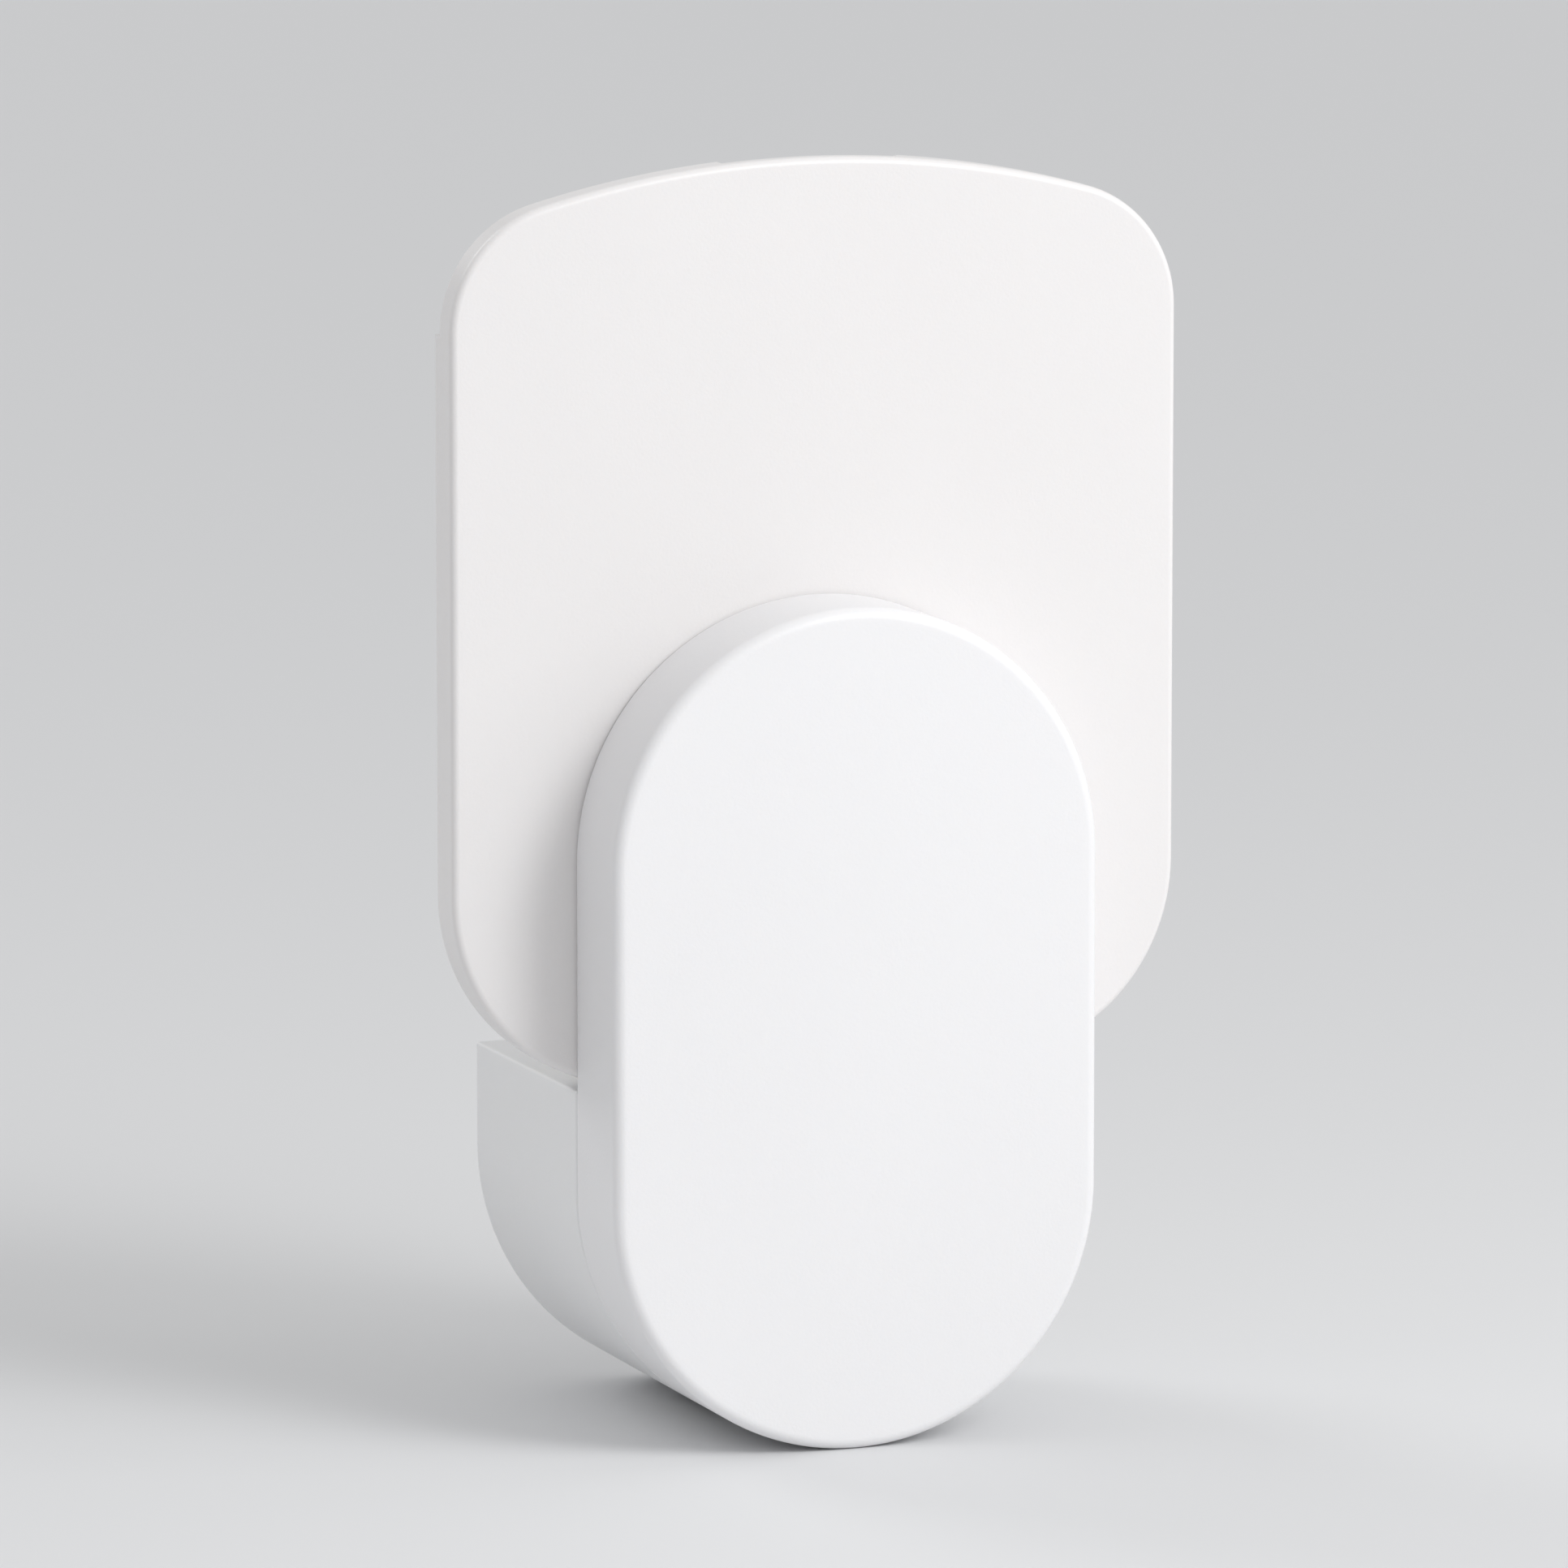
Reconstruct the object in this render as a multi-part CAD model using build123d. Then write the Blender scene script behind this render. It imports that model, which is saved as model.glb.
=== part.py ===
from build123d import *
import os

# Plug-in light trap for flying insects, in millimetres.
# X runs across the front, +Z is up, the wall is the plane Y = 0 and the room is at -Y.
# The origin is midway between the two plug blades, on the wall plane.
# "Off" is a distance from the wall into the room, so a point at off 10 has Y = -10.

# ---- driving dimensions ---------------------------------------------------------------
PILL_WIDTH = 56.0            # front cover and housing, a pill shape seen from the front
PILL_HEIGHT = 92.5
PILL_BOTTOM = -23.0          # leaves the other socket of a duplex outlet free
COVER_FRONT = 46.0           # off the wall
COVER_DEPTH = 12.5
SHELL_WALL = 2.0
COVER_EDGE_RADIUS = 1.3
HOUSING_EDGE_RADIUS = 0.8
SEAM_GAP = 0.25              # parting line between the cover and the housing
SEAM_CHAMFER = 0.2

HOLDER_WIDTH = 84.0          # tall plate that carries the glue card
HOLDER_BOTTOM = 16.5
HOLDER_TOP = 117.0
HOLDER_ARCH_RADIUS = 120.0
HOLDER_TOP_CORNER = 14.0
HOLDER_BOTTOM_CORNER = 21.5
HOLDER_SKIN = 2.0
HOLDER_EDGE_RADIUS = 0.8
RIM_WALL = 1.6
RIM_DEPTH = 3.4
RIM_LOWERED = 99.0           # above this height the rim stops short, so that the card slides out
RIB_X = 26.0                 # the outer two of the three ribs on the skin
RIB_WIDTH = 1.2
RIB_BOTTOM = 26.0
RIB_TOP = 108.0
RAIL_BOTTOM = 46.0           # two lips that the card's edges slide behind
RAIL_TOP = 94.0
RAIL_REACH = 2.4
THUMB_RADIUS = 14.0          # notch for pulling the card
THUMB_RISE = 9.0             # its centre above the holder's top
SLIDE_GAP = 0.2              # room beside a sliding face

CARD_INSET = 1.9             # from the holder's outline
CARD_THICKNESS = 0.4
CARD_RIB = 1.7               # ribs that hold the card off the skin
GLUE_INSET = 5.5
GLUE_THICKNESS = 0.2

LENS_WIDTH = 46.0
LENS_NEAR = 4.0              # off the wall
LENS_FAR = 21.5
LENS_TOP = 36.0
LENS_WALL = 1.5
LENS_CORNER = 6.0
LENS_TOP_RADIUS = 4.0

GUIDE_TOP = 42.0             # two posts behind the holder
GUIDE_X = 17.0
GUIDE_WIDTH = 4.0

BLADE_PITCH = 12.7           # two flat blades of a 125 V plug
BLADE_WIDTH = 6.35
BLADE_THICKNESS = 1.52
BLADE_LENGTH = 17.0
BLADE_HOLE_RADIUS = 1.58
BLADE_HOLE_REACH = 11.9      # from the wall plane into the outlet
BLADE_TAIL_WIDTH = 4.0
BLADE_TAIL_END = 12.0
CARRIER_WIDTH = 21.7         # insulating block that holds the blades
CARRIER_HEIGHT = 14.7
CARRIER_DEPTH = 8.0
CARRIER_CORNER = 2.85
CARRIER_GAP = 0.15           # around it in the back wall

LABEL_WIDTH = 26.0
LABEL_HEIGHT = 5.2
LABEL_MIDDLE = 11.6
LABEL_RECESS = 0.3

VENT_XS = (-7.0, 0.0, 7.0)   # slots through the underside
VENT_LENGTH = 14.0
VENT_WIDTH = 2.4
VENT_MIDDLE = 18.0           # off the wall

SCREW_SPOTS = [(-20.0, 7.0), (20.0, 7.0), (-11.0, -12.0), (11.0, -12.0)]
SCREW_RADIUS = 1.45
SCREW_HEAD_RADIUS = 2.7
SCREW_SEAT = 18.0            # the heads sit this deep in their wells
SCREW_END = 41.0
POST_RADIUS = 4.0

MAINS_LEAD_RADIUS = 0.9
LED_LEAD_RADIUS = 0.6

DRIVER_BOARD_NEAR = 20.0
BOARD_THICKNESS = 1.6
DRIVER_BOARD_TOP = 11.4
BOARD_SCREW_SPOTS = [(-20.5, -1.0), (20.5, -1.0)]
BOARD_SCREW_RADIUS = 1.0
BOARD_SCREW_END = 13.5
BOARD_POST_RADIUS = 2.6
LED_BOARD_NEAR = 12.0
LED_BOARD_BOTTOM = 6.0
LED_BOARD_TOP = 32.5
LED_X = 9.0
UV_LED_HEIGHT = 21.5
BLUE_LED_HEIGHT = 28.5

# ---- worked out from them -------------------------------------------------------------
COVER_BACK = COVER_FRONT - COVER_DEPTH
COVER_INSIDE = COVER_FRONT - SHELL_WALL
PILL_MID = PILL_BOTTOM + PILL_HEIGHT / 2
LEDGE_TOP = HOLDER_BOTTOM - SLIDE_GAP
LEDGE_UNDER = LEDGE_TOP - SHELL_WALL
HOUSING_FRONT = COVER_BACK - SEAM_GAP
HOLDER_FRONT = COVER_BACK - SLIDE_GAP
SKIN_BACK = HOLDER_FRONT - HOLDER_SKIN
RIM_BACK = SKIN_BACK - RIM_DEPTH
CARD_FRONT = SKIN_BACK - CARD_RIB - 0.1
CARD_BACK = CARD_FRONT - CARD_THICKNESS
GLUE_BACK = CARD_BACK - GLUE_THICKNESS
FLANGE_UNDER = LEDGE_UNDER - 1.2
DRIVER_BOARD_FRONT = DRIVER_BOARD_NEAR + BOARD_THICKNESS
LED_BOARD_FRONT = LED_BOARD_NEAR + BOARD_THICKNESS


# ---- helpers --------------------------------------------------------------------------
def slab(sketch, near, far):
    """A sketch in X and Z, made solid between two distances off the wall."""
    return extrude(Plane.XZ.offset(near) * sketch, amount=far - near)


def block(x_low, x_high, near, far, z_low, z_high):
    middle = Pos((x_low + x_high) / 2, -(near + far) / 2, (z_low + z_high) / 2)
    return middle * Box(x_high - x_low, far - near, z_high - z_low)


def wide_block(half_width, near, far, z_low, z_high):
    """A box centred on the middle plane."""
    return block(-half_width, half_width, near, far, z_low, z_high)


def rod(x, z, radius, near, far):
    """A cylinder square to the wall."""
    return slab(Pos(x, z) * Circle(radius), near, far)


def lead(radius, *points):
    """A round wire through points given as (x, off, z), its corners rounded."""
    line = FilletPolyline(*[(x, -off, z) for x, off, z in points], radius=2 * radius)
    return sweep((line ^ 0) * Circle(radius), path=line)


def both_sides(shape):
    """The shape and its mirror image across the middle plane."""
    return [shape, mirror(shape, Plane.YZ)]


def save(node, *shapes):
    """Writes one node, as one solid or as a group of separate ones."""
    solids = [solid for shape in shapes for solid in shape.solids()]
    whole = solids[0] if len(solids) == 1 else Compound(children=solids)
    export_step(whole, f"parts/{node}.step")


# ---- outlines, drawn in X and Z -------------------------------------------------------
def pill(inset=0.0):
    slot = SlotCenterToCenter(PILL_HEIGHT - PILL_WIDTH, PILL_WIDTH - 2 * inset, rotation=90)
    return Pos(0, PILL_MID) * slot


def pill_below(height, inset=0.0):
    return pill(inset) & Pos(0, height - PILL_HEIGHT / 2) * Rectangle(PILL_WIDTH, PILL_HEIGHT)


def pill_above(height, inset=0.0):
    return pill(inset) & Pos(0, height + PILL_HEIGHT / 2) * Rectangle(PILL_WIDTH, PILL_HEIGHT)


def holder_outline(inset=0.0):
    """Straight sides, large corners at the foot and an arched top."""
    middle = Pos(0, (HOLDER_BOTTOM + HOLDER_TOP) / 2)
    outline = middle * Rectangle(HOLDER_WIDTH, HOLDER_TOP - HOLDER_BOTTOM)
    outline &= Pos(0, HOLDER_TOP - HOLDER_ARCH_RADIUS) * Circle(HOLDER_ARCH_RADIUS)
    foot = outline.vertices().sort_by(Axis.Y)[:2]
    outline = fillet(foot, HOLDER_BOTTOM_CORNER)
    shoulders = [v for v in outline.vertices() if v.Y > HOLDER_TOP - HOLDER_TOP_CORNER]
    outline = fillet(shoulders, HOLDER_TOP_CORNER)
    return offset(outline, amount=-inset) if inset else outline


def front_edges(solid):
    """The outline of the face furthest from the wall."""
    return solid.faces().sort_by(Axis.Y)[0].outer_wire().edges()


def back_edges(solid):
    return solid.faces().sort_by(Axis.Y)[-1].outer_wire().edges()


# ---- casings --------------------------------------------------------------------------
def front_cover():
    shell = slab(pill(), COVER_BACK, COVER_FRONT)
    shell = fillet(front_edges(shell), COVER_EDGE_RADIUS)
    shell = chamfer(back_edges(shell), SEAM_CHAMFER)
    shell -= slab(pill(SHELL_WALL), COVER_BACK, COVER_INSIDE)
    for x, z in SCREW_SPOTS:
        shell += rod(x, z, POST_RADIUS, COVER_BACK, COVER_INSIDE)
        shell -= rod(x, z, SCREW_RADIUS, COVER_BACK, SCREW_END + 0.5)
    return shell


def slot_plate():
    """Closes the cover's back above the ledge, with a stiffening rim inside."""
    near, far = COVER_BACK + 0.1, COVER_BACK + 1.7
    rim_depth, rim_wall, gap = 3.0, 1.2, 0.15
    outline = pill_above(LEDGE_UNDER + SLIDE_GAP, SHELL_WALL + gap)
    plate = slab(outline, near, far + rim_depth)
    return plate - slab(offset(outline, amount=-rim_wall), far, far + rim_depth)


def housing_shell():
    """A box open to the front, with the pill's lower outline and a flat ledge on top."""
    shell = slab(pill_below(LEDGE_TOP), 0, HOUSING_FRONT)
    ledge_sides = shell.edges().filter_by(Axis.Y).sort_by(Axis.Z)[-2:]
    shell = fillet(ledge_sides, HOUSING_EDGE_RADIUS / 2)
    shell = fillet(back_edges(shell), HOUSING_EDGE_RADIUS)
    shell = chamfer(front_edges(shell), SEAM_CHAMFER)
    shell -= slab(pill_below(LEDGE_UNDER, SHELL_WALL), SHELL_WALL, HOUSING_FRONT)
    return shell


def housing_lip():
    """A tongue on the housing's front edge that locates the cover from inside."""
    lip_wall, reach, root = 1.2, 2.0, 3.0
    outer = SHELL_WALL + 0.1
    height = LEDGE_UNDER
    inside = pill_below(height + SHELL_WALL, outer + lip_wall)
    tongue = slab(pill_below(height, outer) - inside, HOUSING_FRONT, COVER_BACK + reach)
    foot = slab(pill_below(height, SHELL_WALL / 2) - inside, HOUSING_FRONT - root, HOUSING_FRONT)
    return tongue + foot


def guide_post(x):
    """A post behind the card holder, braced by a sloping web."""
    front = RIM_BACK - SLIDE_GAP
    back = front - 2.2
    post = block(x - GUIDE_WIDTH / 2, x + GUIDE_WIDTH / 2, back, front, LEDGE_UNDER, GUIDE_TOP)
    post = chamfer(post.edges().group_by(Axis.Z)[-1], 0.7)
    post = fillet(post.edges().filter_by(Axis.Z), 0.4)
    web_top, web_foot = GUIDE_TOP - 8, LENS_FAR + 0.6
    side = make_face(Polyline((-back, LEDGE_UNDER), (-web_foot, LEDGE_UNDER),
                              (-web_foot, LEDGE_TOP + 2), (-back, web_top), close=True))
    return post + extrude(Plane.YZ.offset(x) * side, amount=0.6, both=True)


def screw_well(x, z):
    """The hollow for one housing screw: a countersunk mouth, a wide well and a clear hole."""
    mouth = 0.4
    radius = SCREW_HEAD_RADIUS + 0.3
    well = rod(x, z, radius, 0, SCREW_SEAT) + rod(x, z, SCREW_RADIUS + 0.15, SCREW_SEAT, HOUSING_FRONT)
    bevel = Pos(x, -mouth / 2, z) * Rot(90, 0, 0) * Cone(radius + mouth, radius, mouth)
    return well + bevel


def vent(x):
    """A slot with round ends through the underside."""
    slot = SlotOverall(VENT_LENGTH, VENT_WIDTH, rotation=90)
    return extrude(Pos(x, -VENT_MIDDLE, PILL_BOTTOM) * slot, amount=3 * SHELL_WALL)


def rear_housing():
    housing = housing_shell() + housing_lip()
    for x in (-GUIDE_X, GUIDE_X):
        housing += guide_post(x)
    for x, z in SCREW_SPOTS:
        housing += rod(x, z, POST_RADIUS, SHELL_WALL, HOUSING_FRONT)
    for x, z in SCREW_SPOTS:
        housing -= screw_well(x, z)
    for x, z in BOARD_SCREW_SPOTS:
        housing += rod(x, z, BOARD_POST_RADIUS, SHELL_WALL, DRIVER_BOARD_NEAR)
        housing -= rod(x, z, BOARD_SCREW_RADIUS, BOARD_SCREW_END - 0.5, DRIVER_BOARD_NEAR)
    housing -= lens_body(-0.15, LEDGE_UNDER, LEDGE_TOP)
    housing -= slab(carrier_outline(CARRIER_GAP), 0, SHELL_WALL)
    housing -= slab(label_outline(0.2), 0, LABEL_RECESS)
    for x in VENT_XS:
        housing -= vent(x)
    return housing


def label_outline(grow=0.0):
    return Pos(0, LABEL_MIDDLE) * RectangleRounded(LABEL_WIDTH + 2 * grow, LABEL_HEIGHT + 2 * grow, 1.0)


def rating_label():
    return slab(label_outline(), LABEL_RECESS - 0.2, LABEL_RECESS)


# ---- lamp -----------------------------------------------------------------------------
def lens_body(inset, z_low, z_high):
    """An upright block with the lens's rounded plan."""
    depth = LENS_FAR - LENS_NEAR
    plan = RectangleRounded(LENS_WIDTH - 2 * inset, depth - 2 * inset, LENS_CORNER - inset)
    return extrude(Pos(0, -LENS_NEAR - depth / 2, z_low) * plan, amount=z_high - z_low)


def light_lens():
    """A hollow frosted window, open below, with a flange under the ledge."""
    lens = lens_body(0, LEDGE_UNDER, LENS_TOP)
    lens = fillet(lens.edges().group_by(Axis.Z)[-1], LENS_TOP_RADIUS)
    lens += lens_body(-1.8, FLANGE_UNDER, LEDGE_UNDER)
    hollow = lens_body(LENS_WALL, FLANGE_UNDER, LENS_TOP - LENS_WALL)
    return lens - fillet(hollow.edges().group_by(Axis.Z)[-1], LENS_TOP_RADIUS - LENS_WALL)


def light_reflector():
    """A tray under the lens, slotted for the lamp board."""
    floor_thickness, wall_top = 1.2, LEDGE_TOP + 1.5
    outside, wall = LENS_WALL + 0.3, 1.0
    tray = lens_body(-1.8, FLANGE_UNDER - floor_thickness, FLANGE_UNDER)
    tray += lens_body(outside, FLANGE_UNDER, wall_top)
    tray -= lens_body(outside + wall, FLANGE_UNDER, wall_top)
    slot_gap = 0.15
    return tray - wide_block(17 + slot_gap, LED_BOARD_NEAR - slot_gap, LED_BOARD_FRONT + slot_gap,
                             FLANGE_UNDER - floor_thickness, FLANGE_UNDER)


def led_board():
    """A board standing in the lens, with a narrower tongue down into the housing."""
    tongue_half, shoulder = 12.0, FLANGE_UNDER - 1.2
    board = wide_block(17, LED_BOARD_NEAR, LED_BOARD_FRONT, shoulder, LED_BOARD_TOP)
    board += wide_block(tongue_half, LED_BOARD_NEAR, LED_BOARD_FRONT, LED_BOARD_BOTTOM, shoulder)
    return fillet(board.edges().filter_by(Axis.Y), 1.0)


def led(x, height, front):
    """A square package with a low dome, on the front or the back of the lamp board."""
    half, package, dome_radius = 1.75, 1.3, 1.5
    face = LED_BOARD_FRONT if front else LED_BOARD_NEAR
    out = 1 if front else -1
    ends = sorted((face, face + out * package))
    body = block(x - half, x + half, ends[0], ends[1], height - half, height + half)
    dome = Pos(x, -(face + out * package), height) * Sphere(dome_radius)
    inside = block(x - half, x + half, *sorted((face, face - out * package)),
                   height - half, height + half)
    return body + (dome - body) - inside


def led_row(height):
    return [led(x, height, front) for x in (-LED_X, LED_X) for front in (True, False)]


# ---- plug -----------------------------------------------------------------------------
def blade_block(x, width, near, far):
    """A flat bar of the blade's thickness."""
    half = BLADE_THICKNESS / 2
    return block(x - half, x + half, near, far, -width / 2, width / 2)


def plug_blade(x):
    reach = blade_block(x, BLADE_WIDTH, -BLADE_LENGTH, CARRIER_DEPTH)
    tip = reach.edges().group_by(Axis.Y)[-1]
    reach = chamfer(tip, 0.55)
    reach = fillet(reach.edges().filter_by(Axis.Y), 0.15)
    tail = blade_block(x, BLADE_TAIL_WIDTH, CARRIER_DEPTH, BLADE_TAIL_END)
    hole = Pos(x, BLADE_HOLE_REACH, 0) * Rot(0, 90, 0) * Cylinder(BLADE_HOLE_RADIUS, 2 * BLADE_THICKNESS)
    return reach + tail - hole


def carrier_outline(grow=0.0):
    return RectangleRounded(CARRIER_WIDTH + 2 * grow, CARRIER_HEIGHT + 2 * grow, CARRIER_CORNER + grow)


def plug_insert():
    """The blade carrier, with an inner flange that bears on the back wall."""
    flange = RectangleRounded(CARRIER_WIDTH + 3.3, CARRIER_HEIGHT + 1.2, 3.5)
    carrier = slab(carrier_outline(), 0, CARRIER_DEPTH)
    carrier += slab(flange, SHELL_WALL, SHELL_WALL + 1.6)
    carrier = chamfer(back_edges(carrier), 0.3)
    for x in (-BLADE_PITCH / 2, BLADE_PITCH / 2):
        carrier -= blade_block(x, BLADE_WIDTH, 0, CARRIER_DEPTH)
    return carrier


def lead_crimp():
    """A folded brass clip over one blade's tail, holding the end of a lead."""
    x = BLADE_PITCH / 2
    near, far = CARRIER_DEPTH + 0.8, BLADE_TAIL_END + 1.4
    half_width, half_height = 1.6, 2.6
    clip = block(x - half_width, x + half_width, near, far, -half_height, half_height)
    clip -= blade_block(x, BLADE_TAIL_WIDTH, near, BLADE_TAIL_END)
    return clip - rod(x, 0, MAINS_LEAD_RADIUS, BLADE_TAIL_END, far)


def mains_lead():
    """From a crimp to the driver board's rear face."""
    x, turn = BLADE_PITCH / 2, 16.2
    return lead(MAINS_LEAD_RADIUS, (x, BLADE_TAIL_END + 0.1, 0), (x, turn, 0),
                (13.0, turn, -4.0), (13.0, DRIVER_BOARD_NEAR, -4.0))


def led_lead():
    """From the lamp board down to the connector's top."""
    x, turn = 1.3, 18.4
    return lead(LED_LEAD_RADIUS, (x, LED_BOARD_FRONT, 10.0), (x, turn, 10.0), (x, turn, 1.5))


# ---- driver board and what stands on it -----------------------------------------------
def driver_board():
    outline = pill_below(DRIVER_BOARD_TOP, SHELL_WALL + 2.0)
    clearance = POST_RADIUS + 0.6
    for x, z in SCREW_SPOTS[:2]:
        outline -= Pos(x, z + clearance) * Rectangle(2 * clearance, 4 * clearance)
    for x, z in SCREW_SPOTS[2:]:
        outline -= Pos(x, z) * Circle(clearance)
    board = slab(outline, DRIVER_BOARD_NEAR, DRIVER_BOARD_FRONT)
    for x, z in BOARD_SCREW_SPOTS:
        board -= rod(x, z, BOARD_SCREW_RADIUS + 0.3, DRIVER_BOARD_NEAR, DRIVER_BOARD_FRONT)
    return board


def legs(radius, spots, reach):
    """Wire legs from the board's front to a component that stands off it."""
    return [rod(x, z, radius, DRIVER_BOARD_FRONT, DRIVER_BOARD_FRONT + reach) for x, z in spots]


def axial(x, z_low, z_high, radius):
    """A component lying along Z, with a leg bent down to the board at each end."""
    off = DRIVER_BOARD_FRONT + radius + 0.4
    wire, reach = 0.3, 1.6
    body = Pos(x, -off, (z_low + z_high) / 2) * Cylinder(radius, z_high - z_low)
    body = fillet(body.edges(), radius / 3)
    low, high = z_low - reach, z_high + reach
    leg = FilletPolyline((x, -DRIVER_BOARD_FRONT, low), (x, -off, low), (x, -off, high),
                         (x, -DRIVER_BOARD_FRONT, high), radius=0.7)
    return body + sweep((leg ^ 0) * Circle(wire), path=leg)


def film_capacitor():
    body = block(-17.0, -5.0, DRIVER_BOARD_FRONT + 0.5, 32.0, -4.0, 1.5)
    body = fillet(body.edges(), 0.4)
    for leg in legs(0.35, [(-16.0, -1.25), (-6.0, -1.25)], 0.8):
        body += leg
    return body


def smoothing_capacitor():
    """An aluminium can with a rolled groove near its base."""
    x, z, radius = 0.0, -13.0, 4.0
    can = rod(x, z, radius, DRIVER_BOARD_FRONT, 34.0)
    can = fillet(front_edges(can), 0.5)
    groove = Pos(x, -DRIVER_BOARD_FRONT - 1.8, z) * Rot(90, 0, 0) * Torus(radius + 0.1, 0.45)
    return can - groove


def bridge_rectifier():
    body = wide_block(3.0, DRIVER_BOARD_FRONT + 0.2, DRIVER_BOARD_FRONT + 2.7, -5.0, -0.5)
    body = chamfer(front_edges(body), 0.3)
    for x in (-2.0, 2.0):
        for z in (-5.7, 0.2):
            body += block(x - 0.4, x + 0.4, DRIVER_BOARD_FRONT, DRIVER_BOARD_FRONT + 0.6, z - 0.8, z + 0.8)
    return body


def varistor():
    """A coated disc on two legs."""
    disc = Pos(13.0, -28.0, -2.2) * Cylinder(4.5, 3.4)
    disc = fillet(disc.edges(), 1.2)
    for leg in legs(0.35, [(10.5, -2.2), (15.5, -2.2)], 3.5):
        disc += leg
    return disc


def inductor():
    """A drum core: two flanges with a winding between them."""
    x, z = 9.0, 6.5
    drum = rod(x, z, 3.6, DRIVER_BOARD_FRONT, DRIVER_BOARD_FRONT + 1.2)
    drum += rod(x, z, 3.1, DRIVER_BOARD_FRONT + 1.2, DRIVER_BOARD_FRONT + 6.8)
    return drum + rod(x, z, 3.6, DRIVER_BOARD_FRONT + 6.8, DRIVER_BOARD_FRONT + 8.0)


def resistors():
    return [axial(x, 3.6, 8.6, 1.15) for x in (-13.5, -10.2, -6.9, -3.6)]


def led_connector():
    return fillet(wide_block(4.0, 17.0, DRIVER_BOARD_NEAR, -3.5, 1.5).edges().filter_by(Axis.Y), 0.4)


# ---- fasteners ------------------------------------------------------------------------
def screw(x, z, radius, head_radius, seat, tip, head_side):
    """A pan-head screw with a cross recess; head_side is -1 towards the wall, 1 towards the room."""
    head_height, recess = 0.7 * head_radius, 0.45 * head_radius
    crown = seat + head_side * head_height
    head = rod(x, z, head_radius, *sorted((seat, crown)))
    outer = back_edges(head) if head_side < 0 else front_edges(head)
    head = fillet(outer, head_height / 2)
    bottom = crown - head_side * recess
    for turn in (0, 90):
        arm = Pos(x, z) * Rot(0, 0, turn) * Rectangle(1.1 * head_radius, 0.22 * head_radius)
        head -= slab(arm, *sorted((crown, bottom)))
    shank = rod(x, z, radius, *sorted((seat, tip)))
    return head + shank


def housing_screws():
    return [screw(x, z, SCREW_RADIUS, SCREW_HEAD_RADIUS, SCREW_SEAT, SCREW_END, -1)
            for x, z in SCREW_SPOTS]


def board_screws():
    head_radius = 2 * BOARD_SCREW_RADIUS
    return [screw(x, z, BOARD_SCREW_RADIUS, head_radius, DRIVER_BOARD_FRONT, BOARD_SCREW_END, 1)
            for x, z in BOARD_SCREW_SPOTS]


# ---- card holder and glue card --------------------------------------------------------
def card_rail():
    """A lip on the side rim that the card's edge slides behind."""
    inner_edge = HOLDER_WIDTH / 2 - RIM_WALL
    return block(inner_edge - RAIL_REACH, inner_edge + 0.5, RIM_BACK, CARD_BACK - SLIDE_GAP,
                 RAIL_BOTTOM, RAIL_TOP)


def card_holder():
    """The tall plate: a skin with a rim behind it, open at the top for the card."""
    plate = slab(holder_outline(), RIM_BACK, HOLDER_FRONT)
    plate = fillet(front_edges(plate), HOLDER_EDGE_RADIUS)
    plate = chamfer(back_edges(plate), SEAM_CHAMFER)
    plate -= slab(holder_outline(RIM_WALL), RIM_BACK, SKIN_BACK)
    for x in (-RIB_X, 0.0, RIB_X):
        plate += block(x - RIB_WIDTH / 2, x + RIB_WIDTH / 2, SKIN_BACK - CARD_RIB, SKIN_BACK,
                       RIB_BOTTOM, RIB_TOP)
    plate -= wide_block(HOLDER_WIDTH, RIM_BACK, SKIN_BACK - CARD_RIB, RIM_LOWERED, HOLDER_TOP)
    for rail in both_sides(card_rail()):
        plate += rail
    return plate - rod(0, HOLDER_TOP + THUMB_RISE, THUMB_RADIUS, RIM_BACK, SKIN_BACK)


def glue_card():
    return slab(holder_outline(CARD_INSET), CARD_BACK, CARD_FRONT)


def adhesive_layer():
    return slab(holder_outline(GLUE_INSET), GLUE_BACK, CARD_BACK)


os.makedirs("parts", exist_ok=True)
save("front_cover", front_cover())
save("slot_plate", slot_plate())
save("rear_housing", rear_housing())
save("rating_label", rating_label())
save("light_lens", light_lens())
save("light_reflector", light_reflector())
save("led_board", led_board())
save("uv_leds", *led_row(UV_LED_HEIGHT))
save("blue_leds", *led_row(BLUE_LED_HEIGHT))
save("plug_insert", plug_insert())
save("plug_blade_left", plug_blade(-BLADE_PITCH / 2))
save("plug_blade_right", plug_blade(BLADE_PITCH / 2))
save("lead_crimps", *both_sides(lead_crimp()))
save("mains_leads", *both_sides(mains_lead()))
save("led_leads", *both_sides(led_lead()))
save("driver_board", driver_board())
save("film_capacitor", film_capacitor())
save("smoothing_capacitor", smoothing_capacitor())
save("bridge_rectifier", bridge_rectifier())
save("varistor", varistor())
save("inductor", inductor())
save("resistors", *resistors())
save("fuse", axial(2.2, 3.2, 9.2, 1.8))
save("led_connector", led_connector())
save("housing_screws", *housing_screws())
save("board_screws", *board_screws())
save("card_holder", card_holder())
save("glue_card", glue_card())
save("adhesive_layer", adhesive_layer())
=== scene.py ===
import bpy
import bmesh
import math
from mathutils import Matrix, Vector, noise


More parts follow.
